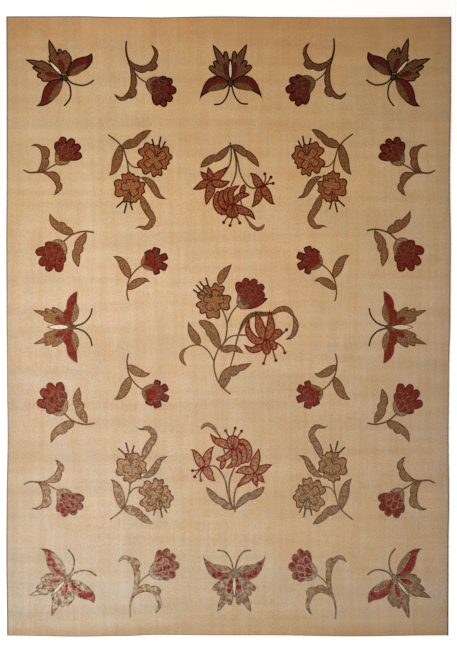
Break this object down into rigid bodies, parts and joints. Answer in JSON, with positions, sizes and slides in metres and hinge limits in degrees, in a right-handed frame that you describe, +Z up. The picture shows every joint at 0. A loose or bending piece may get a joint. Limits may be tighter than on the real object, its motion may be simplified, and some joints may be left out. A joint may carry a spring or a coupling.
{
  "type": "tibetan rug",
  "caption": "Room-size hand-knotted rug lying flat: clipped wool pile with silk flower sprigs and butterflies, turned-in ends and overcast sides.",
  "frame": {"origin": "on the floor, under the middle of the rug's outline", "axes": "+X across the rug to the right of its pattern, +Y along it to the top end, +Z up out of the pile"},
  "size_m": [3.0498, 4.2496, 0.0108],
  "materials": {
    "wool_pile": "clipped wool pile, matt, in undyed sand and camel shades with faint streaks",
    "silk_figures": "clipped silk pile with a soft lustre, in browns, crimson and rust with dark outlines",
    "overcast_yarn": "plied wool yarn wound closely round the side cords, matt olive brown"
  },
  "bodies": {
    "root": {"pile_field": "wool_pile", "side_overcast_left": "overcast_yarn", "side_overcast_right": "overcast_yarn"}
  },
  "joints": []
}
